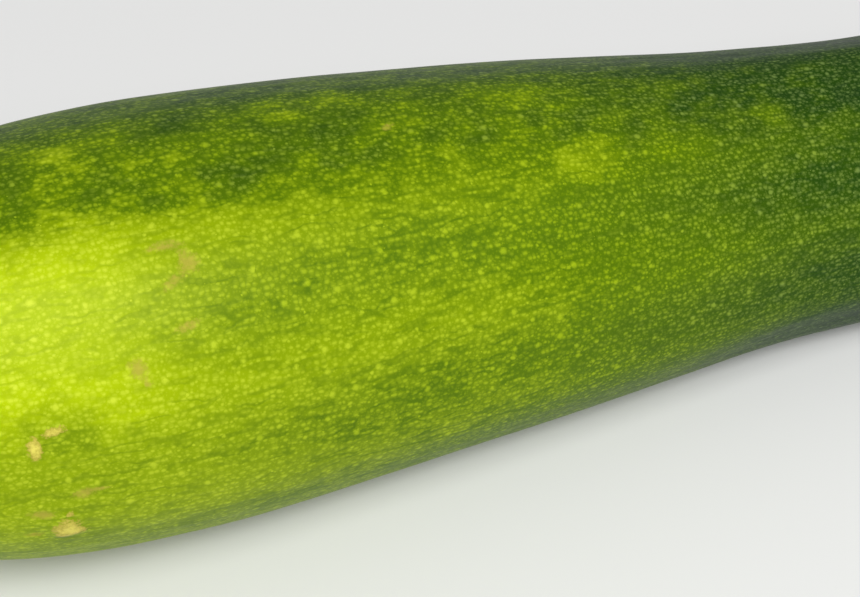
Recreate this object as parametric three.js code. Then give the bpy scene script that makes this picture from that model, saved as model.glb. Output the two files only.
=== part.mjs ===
// A courgette as picked, lying on its side: the whole fruit and the stub of its stalk.
// Millimetres, Z up. X runs along the fruit from the blossom end to the stalk, and the
// near side faces -Y. Angles around the fruit turn from +Y towards +Z.

import * as THREE from "three";
import { mergeVertices } from "three/addons/utils/BufferGeometryUtils.js";

// Length of the fruit, and how its radius changes with the distance from the blossom tip
const fruitLength = 195;
const bellyDistance = 54;
const bellyRadius = 28.75;
const blossomBluntness = 2.2;
const taper = [
  [72, 28.2],
  [90, 27.05],
  [108, 25.5],
  [126, 23.55],
  [144, 21.7],
  [162, 20.95],
];
const neckDistance = 178;
const neckRadius = 20.6;
const shoulderRadius = 13.2;
const shoulderBluntness = 2.3;

// The fruit's centreline: a slight sideways bow, and a fall from the belly to a level neck
const sidewaysBow = 2.75;
const bellyHeight = 28.98;
const fallPerLength = 0.0734;
const levelDistance = 165;
const levelRounding = 0.5;

// Ten low ribs, every other one stronger, which grow towards the stalk
const ribCount = 10;
const ribAngle = THREE.MathUtils.degToRad(158);
const bellyRib = 0.004;
const shoulderRib = 0.022;
const ribGrowthStart = 110;

// The stalk stub: five strong ribs and a flared foot
const stalkGap = 0.3;
const stalkLength = 22;
const stalkFootRadius = 12.8;
const stalkRadius = 9.2;
const stalkCutRadius = 9.7;
const stalkCutChamfer = 0.5;
const stalkRib = 0.1;
const stalkRise = 1.6;
const stalkLean = -1.2;

// How finely the surfaces are divided
const sidesAroundFruit = 60;
const ringsAlongFruit = 46;
const sidesAroundStalk = 40;
const ringsAlongStalk = 10;
const endStations = 7;

// A quarter of a blunt ellipse of unit size, as pairs that go from 0, 1 to just short of 1, 0
function bluntQuarter(bluntness) {
  const pairs = [];
  for (let i = 0; i < endStations; i += 1) {
    const turn = (i / endStations) * (Math.PI / 2);
    pairs.push([Math.sin(turn) ** (2 / bluntness), Math.cos(turn) ** (2 / bluntness)]);
  }
  return pairs;
}

// Points spaced evenly along a smooth curve through stations of distance and radius
function smoothOutline(stations, divisions) {
  const knots = stations.map(([distance, radius]) => new THREE.Vector3(radius, distance, 0));
  const curve = new THREE.CatmullRomCurve3(knots, false, "centripetal");
  return curve.getSpacedPoints(divisions).map((point) => new THREE.Vector2(point.x, point.y));
}

// The closed surface of an outline turned about X, with each vertex then moved by a function
function turnedSolid(outline, sides, moveVertex) {
  const geometry = new THREE.LatheGeometry(outline, sides);
  geometry.deleteAttribute("normal");
  geometry.deleteAttribute("uv");
  geometry.rotateZ(-Math.PI / 2);
  const solid = mergeVertices(geometry, 0.001);
  const positions = solid.attributes.position;
  const vertex = new THREE.Vector3();
  for (let i = 0; i < positions.count; i += 1) {
    vertex.fromBufferAttribute(positions, i);
    moveVertex(vertex);
    positions.setXYZ(i, vertex.x, vertex.y, vertex.z);
  }
  solid.computeVertexNormals();
  return solid;
}

// Place of the centreline at a distance from the blossom tip
function centreline(distance) {
  const fromMiddle = distance / (fruitLength / 2) - 1;
  const levelHeight = bellyHeight - fallPerLength * (levelDistance - bellyDistance);
  const fall = fallPerLength * (levelDistance - distance);
  return {
    y: sidewaysBow * (1 / 3 - fromMiddle ** 2),
    z: levelHeight + (fall + Math.hypot(fall, levelRounding)) / 2,
  };
}

function fruitOutline() {
  const blossomEnd = bluntQuarter(blossomBluntness)
    .map(([rise, fall]) => [bellyDistance * (1 - fall), bellyRadius * rise]);
  const shoulderLength = fruitLength - neckDistance;
  const shoulder = bluntQuarter(shoulderBluntness)
    .map(([rise, fall]) => [
      neckDistance + shoulderLength * rise,
      shoulderRadius + (neckRadius - shoulderRadius) * fall,
    ]);
  const stations = [
    ...blossomEnd,
    [bellyDistance, bellyRadius],
    ...taper,
    ...shoulder,
    [fruitLength, shoulderRadius],
  ];
  return [...smoothOutline(stations, ringsAlongFruit), new THREE.Vector2(0, fruitLength)];
}

// Ribs, bow and fall of the fruit, and the flat on its underside where it rests at height 0
function shapeFruit(vertex) {
  const centre = centreline(vertex.x);
  const angle = Math.atan2(vertex.z, vertex.y);
  const growth = THREE.MathUtils.smoothstep(vertex.x, ribGrowthStart, fruitLength);
  const ribHeight = bellyRib + (shoulderRib - bellyRib) * growth;
  const everyRib = Math.cos(ribCount * (angle - ribAngle));
  const everyOtherRib = Math.cos((ribCount / 2) * (angle - ribAngle));
  const swelling = 1 + ribHeight * (everyRib * (1 - growth / 2) + everyOtherRib * growth);
  vertex.y *= swelling;
  vertex.z *= swelling;
  if (vertex.z < -centre.z) {
    vertex.y *= -centre.z / vertex.z;
    vertex.z = -centre.z;
  }
  vertex.y += centre.y;
  vertex.z += centre.z;
}

// The stalk's flat foot, its smooth flared side, and its cut end with a small chamfer
function stalkOutline() {
  const side = [
    [0, stalkFootRadius],
    [stalkLength * 0.14, stalkFootRadius * 0.9],
    [stalkLength * 0.35, stalkRadius * 1.04],
    [stalkLength * 0.65, stalkRadius],
    [stalkLength - stalkCutChamfer, stalkCutRadius],
  ];
  return [
    new THREE.Vector2(0, 0),
    ...smoothOutline(side, ringsAlongStalk),
    new THREE.Vector2(stalkCutRadius - stalkCutChamfer, stalkLength),
    new THREE.Vector2(0, stalkLength),
  ];
}

// Ribs of the stalk in line with the fruit's stronger ones, and its gentle curve
function shapeStalk(vertex) {
  const centre = centreline(fruitLength);
  const share = vertex.x / stalkLength;
  const angle = Math.atan2(vertex.z, vertex.y);
  const swelling = 1 + stalkRib * (0.5 + share / 2) * Math.cos((ribCount / 2) * (angle - ribAngle));
  vertex.y = vertex.y * swelling + centre.y + stalkLean * share ** 2;
  vertex.z = vertex.z * swelling + centre.z + stalkRise * share ** 2;
  vertex.x += fruitLength + stalkGap;
}

const skin = new THREE.MeshStandardMaterial({ color: 0x6f8f1e, roughness: 0.42, metalness: 0 });
const stalkGreen = new THREE.MeshStandardMaterial({ color: 0x7d8f48, roughness: 0.75, metalness: 0 });

const fruit = new THREE.Mesh(turnedSolid(fruitOutline(), sidesAroundFruit, shapeFruit), skin);
fruit.name = "fruit";

const stalk = new THREE.Mesh(turnedSolid(stalkOutline(), sidesAroundStalk, shapeStalk), stalkGreen);
stalk.name = "stalk";

// The origin is under the middle of the whole courgette, on the surface that it lies on
const courgette = new THREE.Group();
courgette.add(fruit, stalk);
const extent = new THREE.Box3().setFromObject(courgette);
const middle = extent.getCenter(new THREE.Vector3());
courgette.position.set(-middle.x, -middle.y, -extent.min.z);

export default courgette;
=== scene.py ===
import math

import bpy
import numpy as np
from bpy.props import FloatProperty, FloatVectorProperty, IntProperty, PointerProperty
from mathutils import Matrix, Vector, noise


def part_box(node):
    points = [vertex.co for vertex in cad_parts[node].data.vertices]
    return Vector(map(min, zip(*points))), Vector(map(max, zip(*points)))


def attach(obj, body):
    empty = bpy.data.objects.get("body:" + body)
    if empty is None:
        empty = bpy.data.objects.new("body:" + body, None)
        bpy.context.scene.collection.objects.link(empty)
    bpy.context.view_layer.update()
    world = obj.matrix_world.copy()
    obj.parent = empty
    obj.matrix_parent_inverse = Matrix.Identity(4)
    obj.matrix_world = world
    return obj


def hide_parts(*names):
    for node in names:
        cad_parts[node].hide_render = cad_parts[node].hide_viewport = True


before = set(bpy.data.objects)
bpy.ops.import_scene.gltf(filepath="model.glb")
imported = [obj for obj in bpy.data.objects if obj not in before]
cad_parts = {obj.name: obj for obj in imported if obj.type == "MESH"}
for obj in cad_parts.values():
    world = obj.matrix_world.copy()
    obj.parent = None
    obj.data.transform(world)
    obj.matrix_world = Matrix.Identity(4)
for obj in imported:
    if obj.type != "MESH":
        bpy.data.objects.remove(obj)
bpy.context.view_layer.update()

bl_info = {
    "name": "Courgette",
    "version": (1, 0, 0),
    "blender": (4, 5, 0),
    "location": "3D View > Sidebar > Courgette",
    "description": "Grows a courgette's flecked skin and cut stalk around its measured frame",
    "category": "Add Mesh",
}

MM = 0.001
BLOSSOM_TIP_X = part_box("fruit")[0].x
FRUIT_LENGTH = (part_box("fruit")[1].x - BLOSSOM_TIP_X) / MM
STALK_START_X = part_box("stalk")[0].x
STALK_LENGTH = (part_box("stalk")[1].x - STALK_START_X) / MM

# Places on the fruit are a distance from the blossom tip in mm and an angle from +Y towards +Z.
# The near side is at 180 degrees, and the underside at 270 or -90.
UNDERSIDE_SHARE = 0.75

# Ribs, of which every other one is stronger and goes on along the stalk
RIB_COUNT = 10
RIB_ANGLE = math.radians(158)

# The blossom scar in mm: its radius, its raised rim, its sunken cork, the nub in its middle, and
# how far that may stand out past the measured tip
SCAR_RADIUS = 5.6
SCAR_RIM_WIDTH = 0.9
SCAR_RIM_HEIGHT = 0.7
SCAR_DEPTH = 0.6
SCAR_CRACK_HEIGHT = 0.4
NUB_HEIGHT = 1.4
NUB_REACH = 0.4

# How much finer the skin's markings are at the neck, and where on the fruit they grow finer, in mm
NECK_FINENESS = 0.22
FINER_FROM, FINER_TO = 60, 165

# The flecks are laid out around the blossom tip up to this distance from it, in mm
TIP_CHART_REACH = 18.0

# Relief of the skin's marks, in mm
WART_HEIGHT = 0.34
SCUFF_DEPTH = 0.08

# The stalk in mm: its middling radius, and how far its foot goes into the fruit's shoulder
STALK_RADIUS = 9.0
FOOT_DEPTH = 0.7

# The cut face, from its rim at 0 to its middle at 1: its rings and its circle of sap bundles
CUT_SHARES = (0.02, 0.05, *np.linspace(0.09, 0.97, 34))
BUNDLE_CIRCLE = 0.34
BUNDLE_WIDTH = 0.09

# The stage in metres: the floor, the key light over the belly, and the side the daylight is from
FLOOR_REACH = 6.0
KEY_PLACE = (0.02, -0.34, 0.36)
KEY_TARGET = (-0.06, -0.02, 0.045)
KEY_SIZE = 0.16
DAYLIGHT_PLACE = (-0.3, -0.7, 0.9)
DAYLIGHT_SPREAD = math.radians(35)

# Kinds of pale fleck: their spacing as a share of the one set, the smallest and largest radius as
# a share of that spacing (below 0 there is none), and the part of the radius that is palest
SMALL_FLECKS = (1.0, 0.34, 0.70, 0.22)
FINE_FLECKS = (0.6, 0.20, 0.55, 0.20)
LARGE_SPOTS = (1.0, -0.06, 0.24, 0.10)

# Corky scuffs: distance along, angle in degrees, half the length and half the width in mm, and
# the tilt of the length from the fruit's own direction, in degrees
SCUFFS = (
    (53.2, 123.5, 2.1, 0.55, 0),
    (55.6, 129.0, 1.4, 1.1, 40),
    (55.2, 126.8, 0.5, 1.0, 0),
    (53.1, 132.5, 1.6, 0.55, 28),
    (53.5, 143.5, 1.6, 0.55, 14),
    (46.5, 151.0, 1.1, 1.2, 0),
    (47.3, 155.0, 0.6, 0.6, 0),
    (37.5, 183.0, 1.4, 0.75, 12),
    (39.2, 182.4, 1.6, 0.3, 4),
    (32.2, 189.3, 1.5, 0.8, -12),
    (31.2, 198.5, 1.1, 0.55, 0),
    (87.0, 99.5, 1.0, 0.5, 25),
    (96.0, 300.0, 3.0, 0.6, 5),
    (128.0, 352.0, 2.2, 0.5, -6),
    (67.0, 25.0, 1.8, 0.8, 10),
    (150.0, 250.0, 2.6, 0.5, 0),
    (24.0, 60.0, 1.5, 0.7, 20),
)

# Raised pale scabs and warts, in the same terms
WARTS = (
    (35.2, 197.0, 1.9, 2.1, 0),
    (35.3, 162.5, 1.3, 0.65, 8),
    (32.6, 166.5, 0.8, 1.5, 0),
    (35.5, 190.0, 0.55, 0.5, 0),
    (108.0, 318.0, 1.1, 0.8, 0),
    (72.0, 340.0, 0.9, 0.9, 0),
)

# Patches in the green: along, angle, half length, half width, and how much paler, or darker
# where the value is negative
PATCHES = (
    (45.0, 93.5, 3.5, 3.0, 0.08),
    (54.2, 99.5, 4.0, 2.5, 0.08),
    (72.8, 86.0, 3.5, 3.0, 0.14),
    (81.5, 84.0, 4.0, 3.0, 0.12),
    (107.5, 93.0, 5.0, 3.0, 0.07),
    (112.5, 118.5, 5.0, 3.5, 0.09),
    (126.0, 117.0, 6.0, 3.2, 0.07),
    (142.0, 111.5, 3.0, 2.0, 0.14),
    (62.0, 87.5, 3.5, 3.0, -0.09),
    (65.5, 108.0, 5.0, 2.5, -0.05),
    (75.8, 96.5, 4.0, 2.5, -0.07),
    (43.5, 162.0, 3.8, 0.55, 0.08),
    (36.0, 162.0, 5.0, 3.5, -0.08),
)


def srgb(red, green, blue):
    """The linear colour of a screen colour given from 0 to 255."""
    return tuple((channel / 255) ** 2.2 for channel in (red, green, blue))


class SkinSettings(bpy.types.PropertyGroup):
    """Sizes and colours of the courgette's skin"""

    faces_around: IntProperty(
        name="Faces around",
        description="How many faces the skin has around the fruit",
        default=320,
        min=60,
    )
    faces_along: IntProperty(
        name="Faces along",
        description="How many faces the skin has from the blossom tip to the stalk",
        default=300,
        min=60,
    )
    dent_depth: FloatProperty(
        name="Dent depth",
        description="How far the skin's broad, soft dents and swellings go",
        default=0.30 * MM,
        unit="LENGTH",
    )
    ripple_depth: FloatProperty(
        name="Ripple depth",
        description="Height of the fine ripples that run along the skin",
        default=0.05 * MM,
        unit="LENGTH",
    )
    fleck_spacing: FloatProperty(
        name="Fleck spacing",
        description="Distance between small pale flecks at the belly, in millimetres",
        default=0.88,
        min=0.2,
    )
    row_spacing: FloatProperty(
        name="Row spacing",
        description="Distance between the rows that the small flecks lie in, in millimetres",
        default=0.88,
        min=0.2,
    )
    spot_spacing: FloatProperty(
        name="Spot spacing",
        description="Distance between the larger pale spots at the belly, in millimetres",
        default=3.4,
        min=0.5,
    )
    # Partly painted sheen: the palest green is whitened a little to stand for the gloss on the lit belly
    pale_green: FloatVectorProperty(
        name="Pale green",
        description="Skin between the flecks where it is palest",
        default=srgb(162, 183, 6),
        subtype="COLOR",
    )
    middle_green: FloatVectorProperty(
        name="Middle green",
        description="Skin between the flecks at the middle of the fruit",
        default=srgb(80, 106, 0),
        subtype="COLOR",
    )
    dark_green: FloatVectorProperty(
        name="Dark green",
        description="Skin between the flecks in the dark bands",
        default=srgb(38, 65, 10),
        subtype="COLOR",
    )
    deep_green: FloatVectorProperty(
        name="Deep green",
        description="Skin between the flecks at the neck, where it is darkest",
        default=srgb(26, 47, 26),
        subtype="COLOR",
    )
    # Partly painted sheen: the palest flecks are whitened a little to stand for the gloss on the lit
    # belly
    pale_fleck: FloatVectorProperty(
        name="Pale fleck",
        description="Flecks where the skin is palest",
        default=srgb(190, 205, 54),
        subtype="COLOR",
    )
    middle_fleck: FloatVectorProperty(
        name="Middle fleck",
        description="Flecks at the middle of the fruit",
        default=srgb(134, 156, 20),
        subtype="COLOR",
    )
    dark_fleck: FloatVectorProperty(
        name="Dark fleck",
        description="Flecks in the dark bands",
        default=srgb(95, 116, 56),
        subtype="COLOR",
    )
    deep_fleck: FloatVectorProperty(
        name="Deep fleck",
        description="Flecks at the neck, where the skin is darkest",
        default=srgb(78, 100, 62),
        subtype="COLOR",
    )
    cork: FloatVectorProperty(
        name="Cork",
        description="Healed scuffs, and the edges of the warts",
        default=srgb(160, 149, 60),
        subtype="COLOR",
    )
    wart: FloatVectorProperty(
        name="Wart",
        description="Raised pale scabs",
        default=srgb(204, 194, 86),
        subtype="COLOR",
    )
    scar_dark: FloatVectorProperty(
        name="Scar, dark",
        description="Cracks and nub of the blossom scar",
        default=srgb(98, 78, 44),
        subtype="COLOR",
    )
    scar_pale: FloatVectorProperty(
        name="Scar, pale",
        description="Cork of the blossom scar between its cracks",
        default=srgb(176, 150, 98),
        subtype="COLOR",
    )


class StalkSettings(bpy.types.PropertyGroup):
    """Sizes and colours of the cut stalk"""

    faces_around: IntProperty(
        name="Faces around",
        description="How many faces the stalk has around",
        default=200,
        min=40,
    )
    faces_along: IntProperty(
        name="Faces along",
        description="How many faces the stalk has from its foot to the cut",
        default=90,
        min=20,
    )
    groove_depth: FloatProperty(
        name="Groove depth",
        description="Depth of the fine grooves between the stalk's fibres",
        default=0.16 * MM,
        unit="LENGTH",
    )
    green: FloatVectorProperty(
        name="Green",
        description="Ridges of the stalk",
        default=srgb(138, 158, 84),
        subtype="COLOR",
    )
    groove_green: FloatVectorProperty(
        name="Groove green",
        description="Grooves of the stalk",
        default=srgb(74, 98, 44),
        subtype="COLOR",
    )
    dot: FloatVectorProperty(
        name="Dot",
        description="Fine pale dots on the stalk",
        default=srgb(186, 198, 130),
        subtype="COLOR",
    )
    cut: FloatVectorProperty(
        name="Cut face",
        description="Flesh of the cut end",
        default=srgb(214, 218, 158),
        subtype="COLOR",
    )
    dry_cut: FloatVectorProperty(
        name="Dry cut face",
        description="Flesh of the cut end where it has dried",
        default=srgb(178, 186, 112),
        subtype="COLOR",
    )
    bundle: FloatVectorProperty(
        name="Bundles",
        description="Sap bundles in the cut end",
        default=srgb(120, 142, 66),
        subtype="COLOR",
    )
    pith: FloatVectorProperty(
        name="Pith",
        description="Sunken middle of the cut end",
        default=srgb(172, 158, 104),
        subtype="COLOR",
    )
    rind: FloatVectorProperty(
        name="Rind",
        description="Thin dark edge around the cut end",
        default=srgb(98, 104, 48),
        subtype="COLOR",
    )


class StageSettings(bpy.types.PropertyGroup):
    """Where the camera stands and how the courgette is lit"""

    azimuth: FloatProperty(
        name="Azimuth",
        description="How far the camera stands round from the near side, towards the stalk",
        default=math.radians(-22.82),
        unit="ROTATION",
    )
    elevation: FloatProperty(
        name="Elevation",
        description="How far the camera looks down",
        default=math.radians(40.0),
        unit="ROTATION",
    )
    distance: FloatProperty(
        name="Distance",
        description="From the camera to the place it looks at",
        default=302.2 * MM,
        unit="LENGTH",
    )
    target: FloatVectorProperty(
        name="Target",
        description="The place the camera looks at",
        default=(-14.17 * MM, -0.39 * MM, 19.47 * MM),
        subtype="XYZ",
        unit="LENGTH",
    )
    lens: FloatProperty(
        name="Lens",
        description="Focal length in millimetres, on a 36 mm wide sensor",
        default=90.0,
    )
    key_power: FloatProperty(
        name="Key power",
        description="Power of the soft key light over the near side of the belly, in watts",
        default=0.80,
    )
    daylight: FloatProperty(
        name="Daylight",
        description="Strength of the broad soft light from the near side, in watts per square metre",
        default=2.4,
    )
    sky: FloatProperty(
        name="Sky",
        description="Light from the plain surroundings",
        default=0.36,
    )
    backdrop: FloatProperty(
        name="Backdrop",
        description="Brightness of the plain surroundings where the camera sees them",
        default=0.80,
    )
    floor: FloatVectorProperty(
        name="Floor",
        description="Colour of the pale floor",
        default=(0.72, 0.72, 0.715),
        subtype="COLOR",
    )


# Shapes


def ease(values, start, end):
    """0 before start and 1 after end, with a smooth rise between them. End may be before start."""
    share = np.clip((values - start) / (end - start), 0, 1)
    return share * share * (3 - 2 * share)


def noise_over(places, size, stretch=1.0, shift=0.0):
    """Smooth noise from -1 to 1 at places in mm, with lumps of a size, stretched along X.

    Each use has a shift of its own, so that no two have the same lumps.
    """
    steps = np.array([size * stretch, size, size])
    scaled = places.reshape(-1, 3) / steps + shift
    values = [noise.noise(Vector(place)) for place in scaled]
    return np.array(values).reshape(places.shape[:-1])


def through_knots(knots, values, places):
    """A natural cubic spline through rows of values at knots, read at places."""
    gaps = np.diff(knots)
    slopes = np.diff(values, axis=0) / gaps[:, None]
    system = np.eye(len(knots))
    turns = np.zeros_like(values)
    for i in range(1, len(gaps)):
        system[i, i - 1 : i + 2] = gaps[i - 1], 2 * (gaps[i - 1] + gaps[i]), gaps[i]
        turns[i] = 6 * (slopes[i] - slopes[i - 1])
    bends = np.linalg.solve(system, turns)
    low = np.clip(np.searchsorted(knots, places) - 1, 0, len(gaps) - 1)
    gap = gaps[low][:, None]
    after = (places - knots[low])[:, None] / gap
    before = 1 - after
    straight = before * values[low] + after * values[low + 1]
    curved = (before**3 - before) * bends[low] + (after**3 - after) * bends[low + 1]
    return straight + curved * gap**2 / 6


def measured_rings(node):
    """The rings of a CAD node: their x, centre and radii around, from +Y towards +Z, in metres.

    A point in the middle of a flat end is no part of a ring.
    """
    points = np.array([vertex.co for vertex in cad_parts[node].data.vertices])
    points = np.unique(np.round(points, 6), axis=0)
    stations, centres, radii = [], [], []
    for x in np.unique(points[:, 0]):
        ring = points[points[:, 0] == x][:, 1:]
        if len(ring) < 3:
            continue
        offsets = ring - ring.mean(axis=0)
        reach = np.hypot(offsets[:, 0], offsets[:, 1])
        edge = reach > reach.max() / 2
        centre = ring[edge].mean(axis=0)
        offsets = ring[edge] - centre
        half_step = math.pi / edge.sum()
        turn = (np.arctan2(offsets[:, 1], offsets[:, 0]) + half_step) % (2 * math.pi)
        stations.append(x)
        centres.append(centre)
        radii.append(np.hypot(offsets[:, 0], offsets[:, 1])[np.argsort(turn)])
    return np.array(stations), np.array(centres), np.array(radii)


def finer_rings(knots, stations, centres, radii, places, around):
    """Smooth rings of points read at places between the measured rings."""
    waves = np.fft.rfft(radii, axis=1)
    fine_radii = np.fft.irfft(waves, around, axis=1) * (around / radii.shape[1])
    rows = np.column_stack([stations, centres, fine_radii])
    rows = through_knots(knots, rows, places)
    turn = np.linspace(0, 2 * math.pi, around, endpoint=False)
    rings = np.empty((len(places), around, 3))
    rings[:, :, 0] = rows[:, :1]
    rings[:, :, 1] = rows[:, 1:2] + rows[:, 3:] * np.cos(turn)
    rings[:, :, 2] = rows[:, 2:3] + rows[:, 3:] * np.sin(turn)
    return rings, rows[:, 3:]


def outward(rings):
    """Unit normals of a grid of rings."""
    across = np.roll(rings, -1, axis=1) - np.roll(rings, 1, axis=1)
    along = np.gradient(rings, axis=0)
    normals = np.cross(across, along)
    return normals / np.maximum(np.linalg.norm(normals, axis=2, keepdims=True), 1e-12)


def loft(name, rings, start, end, body, replaced):
    """A closed piece through rings, with one point at each end, that stands for a CAD node."""
    count, around = rings.shape[:2]
    points = np.concatenate([rings.reshape(-1, 3), [start, end]])
    this = np.arange(around)
    after = (this + 1) % around
    faces = []
    for ring in range(count - 1):
        low = ring * around
        high = low + around
        faces.extend(np.column_stack([low + this, low + after, high + after, high + this]).tolist())
    top = (count - 1) * around
    first, last = count * around, count * around + 1
    faces.extend([first, j, i] for i, j in zip(this.tolist(), after.tolist()))
    faces.extend([last, top + i, top + j] for i, j in zip(this.tolist(), after.tolist()))
    mesh = bpy.data.meshes.new(name)
    mesh.from_pydata(points.tolist(), [], faces)
    mesh.shade_smooth()
    unroll(mesh, rings)
    piece = bpy.data.objects.new(name, mesh)
    bpy.context.scene.collection.objects.link(piece)
    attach(piece, body)
    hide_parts(replaced)
    return piece


def surface_distance(rings):
    """Distance along the surface, in metres, to each ring and at last to the far end."""
    centres = rings.mean(axis=1)
    sizes = np.linalg.norm(rings - centres[:, None], axis=2).mean(axis=1)
    steps = np.hypot(np.linalg.norm(np.diff(centres, axis=0), axis=1), np.diff(sizes))
    return np.cumsum(np.concatenate([[0, sizes[0]], steps, [sizes[-1]]]))


def face_corners(distance, around):
    """The distance and the share of the turn at each face corner of a loft, in the loft's own order.

    The share starts underneath the piece, so that the seam is out of sight.
    """
    near = (np.arange(around) / around - UNDERSIDE_SHARE) % 1
    far = near + 1 / around
    middle = (near + far) / 2
    start, *rows, end = [np.full(around, value) for value in distance]
    faces = []
    for low, high in zip(rows[:-1], rows[1:]):
        faces.append(np.column_stack([low, near, low, far, high, far, high, near]).ravel())
    faces.append(np.column_stack([start, middle, rows[0], far, rows[0], near]).ravel())
    faces.append(np.column_stack([end, middle, rows[-1], near, rows[-1], far]).ravel())
    return np.concatenate(faces).reshape(-1, 2)


def unroll(mesh, rings):
    """Lays a piece out flat in a UV map: distance along it against the turn around it."""
    distance = surface_distance(rings)
    corners = face_corners(distance / distance[-1], rings.shape[1])
    mesh.uv_layers.new(name="OFBake").data.foreach_set("uv", corners.ravel())


def store_chart(mesh, distance, around, girth):
    """Keeps flat places for the face corners: distance along and around the piece, both in mm."""
    corners = face_corners(distance, around)
    flat = np.column_stack([corners[:, 0], corners[:, 1] * girth, np.zeros(len(corners))])
    mesh.attributes.new("chart", "FLOAT_VECTOR", "CORNER").data.foreach_set("vector", flat.ravel())


def store(mesh, name, values, start, end):
    """Keeps a value, or a vector, for each point: the rings' values, then those of the two ends."""
    vector = values.ndim == 3
    kind, field = ("FLOAT_VECTOR", "vector") if vector else ("FLOAT", "value")
    flat = values.reshape(-1, 3) if vector else values.reshape(-1, 1)
    flat = np.concatenate([flat, np.reshape([start, end], (2, -1))])
    mesh.attributes.new(name, kind, "POINT").data.foreach_set(field, flat.ravel())


def nearness(marks, along, turn, radii):
    """How near each place is to any of the marks: 1 in their middle, a half at their edge, then 0."""
    nearest = np.zeros_like(radii)
    for mark_along, mark_angle, half_length, half_width, tilt in marks:
        across = (turn - math.radians(mark_angle) + math.pi) % (2 * math.pi) - math.pi
        across = across * radii
        onward = along - mark_along
        cosine, sine = math.cos(math.radians(tilt)), math.sin(math.radians(tilt))
        lengthwise = (onward * cosine - across * sine) / half_length
        sideways = (onward * sine + across * cosine) / half_width
        nearest = np.maximum(nearest, 1 - np.hypot(lengthwise, sideways) / 2)
    return nearest


# The fruit's skin


def fruit_grid(settings):
    """Smooth rings of the fruit, their distance along, turn and radii, in mm and radians."""
    stations, centres, radii = measured_rings("fruit")
    tip_radii = np.zeros((1, radii.shape[1]))
    tip_centre = centres[:1] + (centres[:1] - centres[1:2]) / 2
    stations = np.concatenate([[BLOSSOM_TIP_X], stations])
    centres = np.concatenate([tip_centre, centres])
    radii = np.concatenate([tip_radii, radii])
    knots = np.concatenate([[0], np.cumsum(np.hypot(np.diff(stations), np.diff(radii.mean(axis=1))))])
    places = np.linspace(0, knots[-1], settings.faces_along + 2)[1:]
    rings, fine_radii = finer_rings(knots, stations, centres, radii, places, settings.faces_around)
    along = (rings[:, :, 0] - BLOSSOM_TIP_X) / MM
    turn = np.broadcast_to(np.linspace(0, 2 * math.pi, rings.shape[1], endpoint=False), along.shape)
    tip = np.array([BLOSSOM_TIP_X, *tip_centre[0]])
    return rings, tip, along, turn, fine_radii / MM


def finer_growth(along):
    """How much finer the skin's markings are than at the belly."""
    return 1 + NECK_FINENESS * ease(along, FINER_FROM, FINER_TO)


def grown_places(along, turn, radii):
    """Where each point would be if the skin had stretched evenly, in mm.

    Noise that is read there is finer at the neck.
    """
    finer = finer_growth(along)
    row = along.mean(axis=1)
    steps = np.diff(row, prepend=row[0]) * finer[:, 0]
    stretched = np.broadcast_to(np.cumsum(steps)[:, None], along.shape)
    reach = radii * finer
    return np.stack([stretched, reach * np.cos(turn), reach * np.sin(turn)], axis=2)


def side_angle(turn):
    """The angle around the fruit in degrees, from -90 to 270, so that it jumps only underneath."""
    return (np.degrees(turn) + 90) % 360 - 90


def pigment(along, turn, places):
    """How dark the green is: darker at the neck, on the upper far side and between the ribs. Painted
    shade darkens the top and the lower edge, the upper far side is partly painted shade, and the near
    side of the blossom half is paler partly as painted light.
    """
    growth = ease(along, 70, 185)
    angle = side_angle(turn)
    pale_from = 121 - 7 * ease(along, 54, 40) + 6 * ease(along, 62, 78)
    dark_from = 107 - 6 * ease(along, 54, 40)
    # The dark band on the upper far side is partly the skin's own and partly painted shade
    upper_band_and_painted_shade = ease(-angle, -pale_from, -dark_from) * ease(angle, -30, 40)
    # Painted shade: darker along the top, where the skin turns away from the camera and the lights
    top = ease(angle, 100, 75) * ease(angle, 20, 50)
    above_underside = ease(angle, 262, 232)
    # Painted shade: darker along the lower edge as the camera sees it, and more so at the neck
    lower_edge_painted_shade = ease(angle, 150, 215) * above_underside
    lower_neck_painted_shade = ease(along, 120, 155) * ease(angle, 188, 212) * above_underside
    between_ribs = 0.5 - 0.5 * np.cos(RIB_COUNT * (turn - RIB_ANGLE))
    drift = noise_over(places, 12, 2.5, 3.1)
    # Painted light: the near side of the blossom half is paler where the key light falls, on top of the
    # skin's own paler green there
    pale_and_painted_lit_belly = ease(along, 58, 38) * ease(angle, 112, 124) * ease(angle, 172, 148)
    # The blossom half is lighter before the rise from 40 to 72 mm, partly as the skin's own paler green
    # and partly as painted light that falls off along the fruit
    tone = 0.12 + 0.08 * ease(along, 40, 72) - 0.05 * ease(along, 80, 110) + 0.54 * growth
    tone -= 0.12 * pale_and_painted_lit_belly
    tone += 0.18 * upper_band_and_painted_shade * (1 - 0.7 * ease(along, 60, 125)) * ease(along, 3, 22)
    # Painted shade along the top and the lower edges
    tone += 0.14 * top + 0.05 * lower_edge_painted_shade + 0.16 * lower_neck_painted_shade
    tone += (0.04 + 0.07 * growth) * (between_ribs - 0.4) + 0.04 * drift
    tone -= 0.05 * ease(along, 22, 4) + 0.25 * ease(along, 186, 195)
    return tone


def mottling(along, turn):
    """How strongly the green is mottled: most in the dark band, and a little at the neck."""
    angle = side_angle(turn)
    dark_band = ease(angle, 119, 110) * ease(angle, -30, 40) * ease(along, 3, 22)
    neck = ease(along, 90, 150)
    return (0.04 + 0.38 * dark_band) * (1 - 0.4 * neck) + 0.12 * neck


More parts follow.
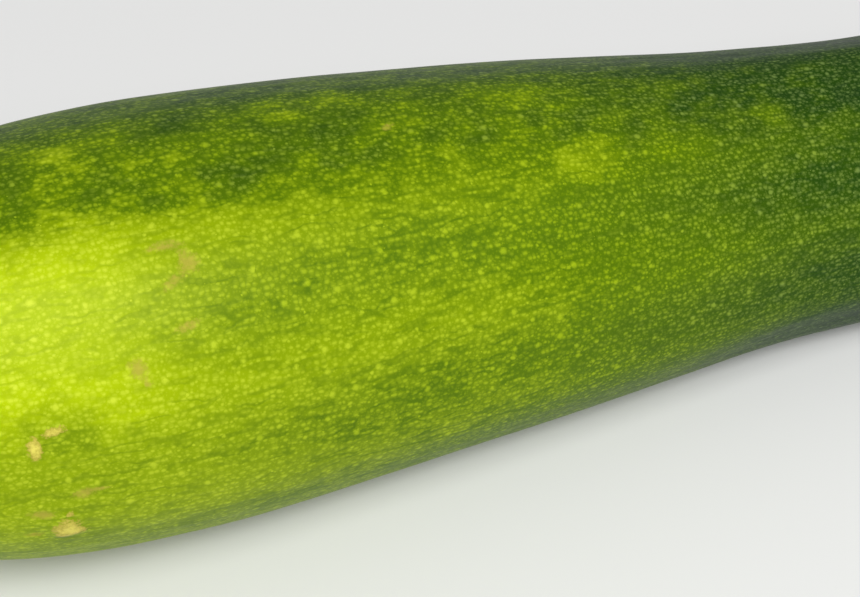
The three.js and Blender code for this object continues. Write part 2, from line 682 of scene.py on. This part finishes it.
def blossom_scar(along, turn, radii, places):
    """The corky scar at the blossom tip: where it is, its cracks, and its relief in mm.

    The first is above a half inside the scar, and below a half outside it.
    """
    edge = SCAR_RADIUS + 0.18 * np.cos(5 * turn + 0.6) + 0.9 * noise_over(places, 2.2, 1.0, 5.3)
    at_tip = ease(along, 20, 10)
    scar = ease(radii, edge + 0.4, edge - 0.4) * at_tip
    rim = np.exp(-(((radii - edge) / SCAR_RIM_WIDTH) ** 2)) * at_tip
    nub = ease(radii, 2.4, 0.9) * at_tip
    spokes = np.stack([radii * 0.2, 6 * np.cos(turn), 6 * np.sin(turn)], axis=2)
    cracks = noise_over(spokes, 1.3, 1.0, 6.1)
    relief = SCAR_RIM_HEIGHT * rim - SCAR_DEPTH * scar + NUB_HEIGHT * nub
    relief += SCAR_CRACK_HEIGHT * scar * cracks + 0.16 * scar * noise_over(places, 0.8, 1.0, 7.7)
    return (0.5 + 0.4 * (edge - radii)) * at_tip, cracks - 1.5 * nub, relief


def chart_skin(mesh, rings, along, turn, radii):
    """Keeps two flat layouts of the skin in mm: along its sides, and around the blossom tip."""
    distance = surface_distance(rings) / MM
    finer = finer_growth(np.concatenate([along.mean(axis=1), [FRUIT_LENGTH]]))
    stretched = np.cumsum(np.concatenate([[0], np.diff(distance) * finer]))
    store_chart(mesh, stretched, rings.shape[1], 2 * math.pi * radii.max())
    reach = distance[1:-1, None]
    from_tip = np.stack([reach * np.cos(turn), reach * np.sin(turn), 0 * turn], axis=2)
    store(mesh, "from_tip", from_tip, (0, 0, 0), (FRUIT_LENGTH, 0, 0))


def grow_fruit(settings):
    """The fruit's skin, with its relief and the values that colour it."""
    rings, tip, along, turn, radii = fruit_grid(settings)
    places = grown_places(along, turn, radii)
    ragged = 0.2 * noise_over(places, 1.6, 1.3, 9.7)
    scuffs = nearness(SCUFFS, along, turn, radii)
    warts = nearness(WARTS, along, turn, radii) + ragged
    tone = pigment(along, turn, places)
    for *mark, paleness in PATCHES:
        near = nearness(((*mark, 0),), along, turn, radii)
        tone -= paleness * ease(near + ragged, 0.3, 0.7)
    scar, cracks, relief = blossom_scar(along, turn, radii, places)
    relief += WART_HEIGHT * ease(warts, 0.3, 0.75) - SCUFF_DEPTH * ease(scuffs, 0.35, 0.7)
    off_floor = ease(rings[:, :, 2] / MM, 0.2, 2.5)
    height = settings.dent_depth * noise_over(places, 17, 1.8, 1.3)
    height += settings.ripple_depth * noise_over(places, 1.7, 7.0, 2.9)
    height = height * off_floor + MM * relief
    rings = rings + outward(rings) * height[:, :, None]
    rings[:, :, 2] = np.maximum(rings[:, :, 2], 0)
    rings[:, :, 0] = np.maximum(rings[:, :, 0], BLOSSOM_TIP_X - NUB_REACH * MM)
    tip[0] = rings[0, :, 0].mean()
    skin = loft("skin", rings, tip, rings[-1].mean(axis=0), "root", "fruit")
    store(skin.data, "tone", tone, tone[0].mean(), tone[-1].mean())
    store(skin.data, "mottle", mottling(along, turn), 0, 0)
    store(skin.data, "scuff", scuffs, 0, 0)
    store(skin.data, "wart", warts, 0, 0)
    store(skin.data, "scar", scar, 3, 0)
    store(skin.data, "crack", cracks, 0, 0)
    store(skin.data, "place", places, (0, 0, 0), (FRUIT_LENGTH, 0, 0))
    chart_skin(skin.data, rings, along, turn, radii)
    return skin


# The stalk


def stalk_places(rings, turn):
    """Where each point is on a straight stalk of even thickness, in mm."""
    along = (rings[:, :, 0] - STALK_START_X) / MM
    return np.stack([along, STALK_RADIUS * np.cos(turn), STALK_RADIUS * np.sin(turn)], axis=2)


def grow_stalk(settings):
    """The stalk stub: five ribs, fine grooves, and a cut end with its pith and bundles."""
    stations, centres, radii = measured_rings("stalk")
    # The last station is the flat end, whose place the cut face takes
    side = stations < stations[-1]
    knots = stations[side] - stations[0]
    spots = np.linspace(0, knots[-1], settings.faces_along)
    around = settings.faces_around
    rings, _ = finer_rings(knots, stations[side], centres[side], radii[side], spots, around)
    turn = np.broadcast_to(np.linspace(0, 2 * math.pi, around, endpoint=False), rings.shape[:2])
    places = stalk_places(rings, turn)
    grooves = noise_over(places, 1.1, 9.0, 4.2) + 0.6 * noise_over(places, 0.55, 7.0, 8.8)
    crest = np.cos(RIB_COUNT / 2 * (turn - RIB_ANGLE))
    double_crest = np.cos(RIB_COUNT * (turn - RIB_ANGLE))
    sharper = 0.25 * np.maximum(crest, 0) ** 3 - 0.2 * double_crest * places[:, :, 0] / STALK_LENGTH
    height = settings.groove_depth * grooves + MM * sharper
    rings = rings + outward(rings) * height[:, :, None]
    rings[0, :, 0] -= FOOT_DEPTH * MM
    cut_rings, cut_share = cut_face(rings[-1])
    rings = np.concatenate([rings, cut_rings])
    foot = rings[0].mean(axis=0)
    stalk = loft("stalk_stub", rings, foot, cut_rings[-1].mean(axis=0), "root", "stalk")
    ridge = np.concatenate([grooves + 1.2 * crest, bundle_ring(cut_share, turn[:1])])
    store(stalk.data, "ridge", ridge, 0, 0)
    store(stalk.data, "cut", np.concatenate([np.zeros(turn.shape), cut_share]), 0, 1)
    inward = cut_share[:, :, None]
    cut_places = places[-1:] * (1 - inward) + np.array([STALK_LENGTH, 0, 0]) * inward
    places = np.concatenate([places, cut_places])
    store(stalk.data, "place", places, (0, 0, 0), (STALK_LENGTH, 0, 0))
    store_chart(stalk.data, surface_distance(rings) / MM, around, 2 * math.pi * STALK_RADIUS)
    return stalk


def bundle_ring(share, turn):
    """The circle of sap bundles in the cut face, two to each of its ribs, from 0 to 1."""
    circle = np.exp(-(((share - BUNDLE_CIRCLE) / BUNDLE_WIDTH) ** 2))
    return circle * np.maximum(np.cos(RIB_COUNT * (turn - RIB_ANGLE)), 0)


def cut_face(rim):
    """Rings from the stalk's rim to its middle, and how far in each is, from 0 to 1."""
    middle = rim.mean(axis=0)
    turn = np.linspace(0, 2 * math.pi, len(rim), endpoint=False)
    rings = []
    for share in CUT_SHARES:
        ring = rim + (middle - rim) * share
        rough = np.array([noise.noise(Vector(point) / (0.7 * MM)) for point in ring])
        rise = 0.45 * ease(share, 0, 0.06) - 1.3 * ease(share, 0.66, 0.9)
        rise = rise + 0.22 * bundle_ring(share, turn) + 0.10 * rough
        ring[:, 0] = middle[0] + rise * MM
        rings.append(ring)
    shares = np.broadcast_to(np.array(CUT_SHARES)[:, None], (len(rings), len(rim)))
    return np.array(rings), shares


# Materials


class NodeSheet:
    """Short calls that add nodes to one node tree, link them and set them out in a grid."""

    def __init__(self, tree):
        self.tree = tree

    def add(self, kind, inputs=(), **settings):
        """A new node, with its settings and its inputs."""
        node = self.tree.nodes.new(kind)
        place = len(self.tree.nodes)
        node.location = (place // 6 * 220, -(place % 6) * 240)
        for name, value in settings.items():
            setattr(node, name, value)
        for socket, value in dict(inputs).items():
            self.put(node.inputs[socket], value)
        return node

    def put(self, socket, value):
        """Links an output to a socket, or sets the socket's own value."""
        if isinstance(value, bpy.types.NodeSocket):
            self.tree.links.new(value, socket)
        else:
            socket.default_value = value

    def math(self, operation, first, second=0.0, clamp=False):
        """One operation on a value, or on two."""
        inputs = {0: first, 1: second}
        return self.add("ShaderNodeMath", inputs, operation=operation, use_clamp=clamp).outputs[0]

    def plus(self, value, other, share, clamp=False):
        """A value plus a share of another, which may be below 0."""
        return self.math("ADD", value, self.math("MULTIPLY", other, share), clamp)

    def read(self, name, output="Fac"):
        """A value that the mesh keeps for its points or face corners."""
        return self.add("ShaderNodeAttribute", attribute_name=name).outputs[output]

    def remap(self, value, low, high, to_low=0.0, to_high=1.0):
        """A value moved smoothly from one range to another, and held at its ends."""
        inputs = {"Value": value, "From Min": low, "From Max": high, "To Min": to_low, "To Max": to_high}
        return self.add("ShaderNodeMapRange", inputs, interpolation_type="SMOOTHSTEP").outputs[0]

    def mix(self, share, first, second):
        """Two colours or places mixed, each an output or three numbers."""
        node = self.add("ShaderNodeMix", {0: share}, data_type="RGBA")
        for socket, value in ((node.inputs[6], first), (node.inputs[7], second)):
            self.put(socket, value if isinstance(value, bpy.types.NodeSocket) else (*value, 1))
        return node.outputs[2]

    def ramp(self, value, colours):
        """Colours along a value from 0 to 1, given as pairs of place and colour."""
        node = self.add("ShaderNodeValToRGB", {"Fac": value})
        stops = node.color_ramp.elements
        for place, _ in colours[2:]:
            stops.new(place)
        for stop, (place, colour) in zip(stops, colours):
            stop.position = place
            stop.color = (*colour, 1)
        return node.outputs["Color"]

    def noise(self, place, size, detail=2.0, roughness=0.5):
        """Noise from 0 to 1 with lumps of a size in the place's own units."""
        inputs = {"Vector": place, "Scale": 1 / size, "Detail": detail, "Roughness": roughness}
        return self.add("ShaderNodeTexNoise", inputs)

    def scaled(self, vector, factors):
        """Places stretched along each axis."""
        node = self.add("ShaderNodeVectorMath", {0: vector, 1: factors}, operation="MULTIPLY")
        return node.outputs[0]

    def shifted(self, vector, offsets, reach):
        """Places moved by offsets from 0 to 1, each up to a reach."""
        inputs = {0: offsets, 1: (reach, reach, reach), 2: vector}
        return self.add("ShaderNodeVectorMath", inputs, operation="MULTIPLY_ADD").outputs[0]

    def group(self, tree, **inputs):
        """The output of a node group with its inputs."""
        node = self.add("ShaderNodeGroup", node_tree=tree)
        for name, value in inputs.items():
            self.put(node.inputs[name], value)
        return node.outputs[0]


def new_group(name, inputs, output):
    """An empty shader node group with named inputs and one output, and its group input node."""
    tree = bpy.data.node_groups.new(name, "ShaderNodeTree")
    for label, kind, default in inputs:
        socket = tree.interface.new_socket(label, in_out="INPUT", socket_type=kind)
        if default is not None:
            socket.default_value = default
    tree.interface.new_socket(output, in_out="OUTPUT", socket_type="NodeSocketFloat")
    sheet = NodeSheet(tree)
    return tree, sheet, sheet.add("NodeGroupInput"), sheet.add("NodeGroupOutput")


def flecks_group():
    """Round flecks of uneven size, scattered over flat places at a spacing in mm."""
    inputs = (
        ("Place", "NodeSocketVector", None),
        ("Spacing", "NodeSocketFloat", 1.0),
        ("Smallest", "NodeSocketFloat", 0.2),
        ("Largest", "NodeSocketFloat", 0.5),
        ("Core", "NodeSocketFloat", 0.5),
        ("Ragged", "NodeSocketFloat", 0.0),
    )
    tree, sheet, given, result = new_group("Flecks", inputs, "Fleck")
    scale = sheet.math("DIVIDE", 1.0, given.outputs["Spacing"])
    cells = sheet.add(
        "ShaderNodeTexVoronoi",
        {"Vector": given.outputs["Place"], "Scale": scale},
        voronoi_dimensions="2D",
    )
    red = sheet.add("ShaderNodeSeparateColor", {0: cells.outputs["Color"]}).outputs[0]
    size = sheet.add(
        "ShaderNodeMapRange",
        {"Value": red, "To Min": given.outputs["Smallest"], "To Max": given.outputs["Largest"]},
    ).outputs[0]
    size = sheet.math("MAXIMUM", size, 0.001)
    inside = sheet.math("MULTIPLY", size, given.outputs["Core"])
    distance = sheet.math("ADD", cells.outputs["Distance"], given.outputs["Ragged"])
    sheet.put(result.inputs[0], sheet.remap(distance, size, inside))
    return tree


def blotches_group():
    """Uneven patches with soft edges, longer along X than across, at a size in mm."""
    inputs = (
        ("Place", "NodeSocketVector", None),
        ("Size", "NodeSocketFloat", 3.0),
        ("Edge", "NodeSocketFloat", 0.1),
    )
    tree, sheet, given, result = new_group("Blotches", inputs, "Blotch")
    longer = sheet.scaled(given.outputs["Place"], (0.6, 1.0, 1.0))
    scale = sheet.math("DIVIDE", 1.0, given.outputs["Size"])
    lumps = sheet.add(
        "ShaderNodeTexNoise", {"Vector": longer, "Scale": scale, "Detail": 4.0, "Roughness": 0.6}
    ).outputs[0]
    low = sheet.math("SUBTRACT", 0.5, given.outputs["Edge"])
    high = sheet.math("ADD", 0.5, given.outputs["Edge"])
    sheet.put(result.inputs[0], sheet.remap(lumps, low, high))
    return tree


def new_material(name):
    """A material with a Principled shader, its node sheet and that shader."""
    material = bpy.data.materials.new(name)
    material.use_nodes = True
    shader = material.node_tree.nodes["Principled BSDF"]
    return material, NodeSheet(material.node_tree), shader


def skin_chart(sheet, wander, ragged):
    """Flat places for the flecks in mm: laid out around the tip near it, and along the sides beyond."""
    from_tip = sheet.read("from_tip", "Vector")
    reach = sheet.add("ShaderNodeVectorMath", {0: from_tip}, operation="LENGTH").outputs["Value"]
    beyond = sheet.math("GREATER_THAN", sheet.plus(reach, ragged, 3.0), TIP_CHART_REACH)
    return sheet.shifted(sheet.mix(beyond, from_tip, sheet.read("chart", "Vector")), wander, 0.7)


def skin_lines(sheet, grown, wandered):
    """Thin, wavy, broken dark lines that run along the skin."""
    streaks = sheet.noise(sheet.scaled(wandered, (0.17, 1.0, 1.0)), 1.5, 1.0).outputs[0]
    line = sheet.remap(sheet.math("ABSOLUTE", sheet.math("SUBTRACT", streaks, 0.5)), 0.12, 0.02)
    broken = sheet.noise(sheet.scaled(grown, (0.4, 1.0, 1.0)), 1.7, 1.0).outputs[0]
    return sheet.math("MULTIPLY", line, sheet.remap(broken, 0.35, 0.6))


def skin_flecks(sheet, settings, flecks, chart, ragged, line):
    """Pale flecks: small ones in rows with finer ones between, weaker in the lines, and large spots."""
    edge = sheet.math("MULTIPLY", ragged, 0.2)

    def scattered(kind, spacing):
        share, smallest, largest, core = kind
        return sheet.group(
            flecks,
            Place=chart,
            Spacing=spacing * share,
            Smallest=smallest,
            Largest=largest,
            Core=core,
            Ragged=edge,
        )

    small = scattered(SMALL_FLECKS, settings.fleck_spacing)
    fine = scattered(FINE_FLECKS, settings.fleck_spacing)
    large = scattered(LARGE_SPOTS, settings.spot_spacing)
    around = sheet.add("ShaderNodeSeparateXYZ", {0: chart}).outputs["Y"]
    row = sheet.math("SINE", sheet.math("MULTIPLY", around, 2 * math.pi / settings.row_spacing))
    small = sheet.math("MULTIPLY", small, sheet.remap(row, -0.8, 0.6, 0.45, 1.0))
    small = sheet.math("MAXIMUM", small, sheet.math("MULTIPLY", fine, 0.4))
    small = sheet.math("MULTIPLY", small, sheet.plus(0.76, line, -0.42))
    return sheet.math("MAXIMUM", small, sheet.math("MULTIPLY", large, 1.1))


def skin_greens(sheet, settings, tone, fleck):
    """The ground's green and the flecks' own, both by how dark the skin is there."""
    places = (0.0, 0.30, 0.66, 1.0)
    grounds = (settings.pale_green, settings.middle_green, settings.dark_green, settings.deep_green)
    paler = (settings.pale_fleck, settings.middle_fleck, settings.dark_fleck, settings.deep_fleck)
    ground = sheet.ramp(tone, list(zip(places, grounds)))
    return sheet.mix(fleck, ground, sheet.ramp(tone, list(zip(places, paler))))


def skin_marks(sheet, settings, colour, ragged):
    """The colour with its scuffs, warts and blossom scar, and how corky the skin is."""
    scuff = sheet.remap(sheet.plus(sheet.read("scuff"), ragged, 1.1), 0.28, 0.88, 0.0, 0.74)
    colour = sheet.mix(scuff, colour, settings.cork)
    wart = sheet.plus(sheet.read("wart"), ragged, 0.85)
    wart_colour = sheet.mix(sheet.remap(wart, 0.48, 0.95), settings.cork, settings.wart)
    colour = sheet.mix(sheet.remap(wart, 0.42, 0.60), colour, wart_colour)
    scar = sheet.remap(sheet.plus(sheet.read("scar"), ragged, 0.5), 0.40, 0.60)
    cork = sheet.remap(sheet.plus(sheet.read("crack"), ragged, 1.6), -0.7, 0.5)
    colour = sheet.mix(scar, colour, sheet.mix(cork, settings.scar_dark, settings.scar_pale))
    return colour, sheet.math("MAXIMUM", scuff, scar)


def skin_material(settings, flecks, blotches):
    """Waxy green skin: mottled ground, pale flecks and spots, dark wavy lines, cork and warts."""
    material, sheet, shader = new_material("courgette_skin")
    grown = sheet.read("place", "Vector")
    wander = sheet.noise(grown, 3.0, 2.0).outputs["Color"]
    crumbs = sheet.noise(grown, 0.55, 3.0, 0.7).outputs[0]
    ragged = sheet.math("SUBTRACT", crumbs, 0.5)
    cloud = sheet.noise(sheet.scaled(grown, (0.6, 1.0, 1.0)), 1.6, 3.0).outputs[0]
    line = skin_lines(sheet, grown, sheet.shifted(grown, wander, 1.8))
    fleck = skin_flecks(sheet, settings, flecks, skin_chart(sheet, wander, ragged), ragged, line)
    blotch = sheet.group(blotches, Place=grown, Size=3.4, Edge=0.18)
    darker = sheet.math("MULTIPLY", sheet.math("SUBTRACT", blotch, 0.5), sheet.read("mottle"))
    tone = sheet.plus(sheet.read("tone"), darker, 0.5)
    tone = sheet.plus(tone, sheet.math("SUBTRACT", cloud, 0.5), 0.05)
    tone = sheet.plus(tone, line, 0.05, clamp=True)
    colour = skin_greens(sheet, settings, tone, fleck)
    colour, corky = skin_marks(sheet, settings, colour, ragged)
    sheet.put(shader.inputs["Base Color"], colour)
    rough = sheet.plus(sheet.plus(0.36, corky, 0.35), cloud, 0.12)
    sheet.put(shader.inputs["Roughness"], rough)
    height = sheet.plus(sheet.math("MULTIPLY", fleck, 0.5), line, -0.15)
    height = sheet.plus(height, crumbs, 0.25)
    bump = sheet.add("ShaderNodeBump", {"Height": height, "Strength": 0.6, "Distance": 0.06 * MM})
    sheet.put(shader.inputs["Normal"], bump.outputs[0])
    shader.inputs["Specular IOR Level"].default_value = 0.07
    return material


def cut_flesh(sheet, settings, place, cut, ridge):
    """Colour of the stalk's cut face: flesh that dries in patches, sap bundles and sunken pith."""
    drying = sheet.noise(place, 0.5, 4.0, 0.6).outputs[0]
    flesh = sheet.mix(drying, settings.cut, settings.dry_cut)
    flesh = sheet.mix(sheet.remap(ridge, 0.3, 0.9, 0.0, 0.6), flesh, settings.bundle)
    return sheet.mix(sheet.remap(cut, 0.62, 0.82), flesh, settings.pith)


def stalk_material(settings, flecks, blotches):
    """Fibrous stalk: pale ridges, dark grooves, fine dots, and a drying cut face."""
    material, sheet, shader = new_material("courgette_stalk")
    place = sheet.read("place", "Vector")
    chart = sheet.read("chart", "Vector")
    ridge = sheet.read("ridge")
    cut = sheet.read("cut")
    fibres = sheet.noise(sheet.scaled(place, (0.10, 1.0, 1.0)), 0.45, 4.0, 0.65).outputs[0]
    patch = sheet.group(blotches, Place=place, Size=2.6, Edge=0.15)
    dots = sheet.group(flecks, Place=chart, Spacing=0.9, Smallest=-0.05, Largest=0.3, Core=0.3)
    paleness = sheet.plus(sheet.math("MULTIPLY", sheet.remap(ridge, -1.2, 1.5), 0.6), fibres, 0.45)
    paleness = sheet.plus(paleness, patch, -0.15, clamp=True)
    colour = sheet.mix(paleness, settings.groove_green, settings.green)
    colour = sheet.mix(sheet.math("MULTIPLY", dots, 0.3), colour, settings.dot)
    flesh = cut_flesh(sheet, settings, place, cut, ridge)
    colour = sheet.mix(sheet.remap(cut, 0.015, 0.06), colour, flesh)
    rind = sheet.math("MULTIPLY", sheet.remap(cut, 0.0, 0.03), sheet.remap(cut, 0.14, 0.06))
    colour = sheet.mix(sheet.math("MULTIPLY", rind, 0.7), colour, settings.rind)
    sheet.put(shader.inputs["Base Color"], colour)
    sheet.put(shader.inputs["Roughness"], sheet.remap(fibres, 0.2, 0.8, 0.55, 0.8))
    height = sheet.plus(fibres, dots, 0.5)
    bump = sheet.add("ShaderNodeBump", {"Height": height, "Strength": 0.7, "Distance": 0.12 * MM})
    sheet.put(shader.inputs["Normal"], bump.outputs[0])
    return material


def node_group(name, make):
    """A node group by name, made the first time it is asked for."""
    return bpy.data.node_groups.get(name) or make()


# The stage


def add_light(kind, name, place, target, power):
    """A light that faces its target, where the camera doesn't see it."""
    light = bpy.data.lights.new(name, kind)
    light.energy = power
    lamp = bpy.data.objects.new(name, light)
    lamp.location = place
    lamp.rotation_euler = (Vector(target) - Vector(place)).to_track_quat("-Z", "Y").to_euler()
    lamp.visible_camera = False
    bpy.context.scene.collection.objects.link(lamp)
    return light


def set_stage(settings):
    """Pale floor, soft lights, plain surroundings and the camera at the photographed angle."""
    scene = bpy.context.scene
    mesh = bpy.data.meshes.new("floor")
    sides = ((-1, -1), (1, -1), (1, 1), (-1, 1))
    mesh.from_pydata([(x * FLOOR_REACH, y * FLOOR_REACH, 0) for x, y in sides], [], [(0, 1, 2, 3)])
    floor = bpy.data.objects.new("floor", mesh)
    scene.collection.objects.link(floor)
    material, _, shader = new_material("pale_floor")
    shader.inputs["Base Color"].default_value = (*settings.floor, 1)
    shader.inputs["Roughness"].default_value = 0.7
    mesh.materials.append(material)

    world = bpy.data.worlds.new("plain_surroundings")
    world.use_nodes = True
    sheet = NodeSheet(world.node_tree)
    seen = sheet.add("ShaderNodeLightPath").outputs["Is Camera Ray"]
    seen = sheet.math("MULTIPLY", seen, settings.backdrop - settings.sky)
    background = world.node_tree.nodes["Background"]
    background.inputs["Color"].default_value = (1, 1, 1, 1)
    sheet.put(background.inputs["Strength"], sheet.math("ADD", seen, settings.sky))
    scene.world = world

    key = add_light("AREA", "key", KEY_PLACE, KEY_TARGET, settings.key_power)
    key.size = KEY_SIZE
    daylight = add_light("SUN", "daylight", DAYLIGHT_PLACE, (0, 0, 0), settings.daylight)
    daylight.angle = DAYLIGHT_SPREAD

    back = Vector((
        math.sin(settings.azimuth) * math.cos(settings.elevation),
        -math.cos(settings.azimuth) * math.cos(settings.elevation),
        math.sin(settings.elevation),
    ))
    camera = bpy.data.objects.new("camera", bpy.data.cameras.new("camera"))
    camera.data.lens = settings.lens
    camera.data.clip_start = 0.01
    camera.location = Vector(settings.target) + back * settings.distance
    camera.rotation_mode = "QUATERNION"
    camera.rotation_quaternion = (-back).to_track_quat("-Z", "Y")
    scene.collection.objects.link(camera)
    scene.camera = camera
    scene.view_settings.view_transform = "Standard"


# Operators and panel


class COURGETTE_OT_stage(bpy.types.Operator):
    """Make the floor, the lights and the camera"""

    bl_idname = "courgette.stage"
    bl_label = "Stage"

    def execute(self, context):
        set_stage(context.scene.courgette_stage)
        return {"FINISHED"}


class COURGETTE_OT_fruit(bpy.types.Operator):
    """Make the fruit's skin around its measured frame"""

    bl_idname = "courgette.fruit"
    bl_label = "Fruit"

    def execute(self, context):
        settings = context.scene.courgette_skin
        skin = grow_fruit(settings)
        flecks = node_group("Flecks", flecks_group)
        blotches = node_group("Blotches", blotches_group)
        skin.data.materials.append(skin_material(settings, flecks, blotches))
        return {"FINISHED"}


class COURGETTE_OT_stalk(bpy.types.Operator):
    """Make the cut stalk at the end of the fruit"""

    bl_idname = "courgette.stalk"
    bl_label = "Stalk"

    def execute(self, context):
        settings = context.scene.courgette_stalk
        stalk = grow_stalk(settings)
        flecks = node_group("Flecks", flecks_group)
        blotches = node_group("Blotches", blotches_group)
        stalk.data.materials.append(stalk_material(settings, flecks, blotches))
        return {"FINISHED"}


class COURGETTE_PT_panel(bpy.types.Panel):
    """Lists the courgette's steps and their settings"""

    bl_label = "Courgette"
    bl_idname = "COURGETTE_PT_panel"
    bl_space_type = "VIEW_3D"
    bl_region_type = "UI"
    bl_category = "Courgette"

    def draw(self, context):
        for step, group in STEPS:
            box = self.layout.box()
            box.operator(step.bl_idname)
            settings = getattr(context.scene, group)
            for name in settings.__annotations__:
                box.prop(settings, name)


STEPS = (
    (COURGETTE_OT_stage, "courgette_stage"),
    (COURGETTE_OT_fruit, "courgette_skin"),
    (COURGETTE_OT_stalk, "courgette_stalk"),
)
SETTINGS = {
    "courgette_stage": StageSettings,
    "courgette_skin": SkinSettings,
    "courgette_stalk": StalkSettings,
}
CLASSES = (
    StageSettings,
    SkinSettings,
    StalkSettings,
    COURGETTE_OT_stage,
    COURGETTE_OT_fruit,
    COURGETTE_OT_stalk,
    COURGETTE_PT_panel,
)


def register():
    for entry in CLASSES:
        bpy.utils.register_class(entry)
    for name, group in SETTINGS.items():
        setattr(bpy.types.Scene, name, PointerProperty(type=group))


def unregister():
    for name in SETTINGS:
        delattr(bpy.types.Scene, name)
    for entry in reversed(CLASSES):
        bpy.utils.unregister_class(entry)


def main():
    """Makes the stage and the pieces."""
    register()
    bpy.ops.courgette.stage()
    bpy.ops.courgette.fruit()
    bpy.ops.courgette.stalk()


if __name__ == "__main__":
    main()
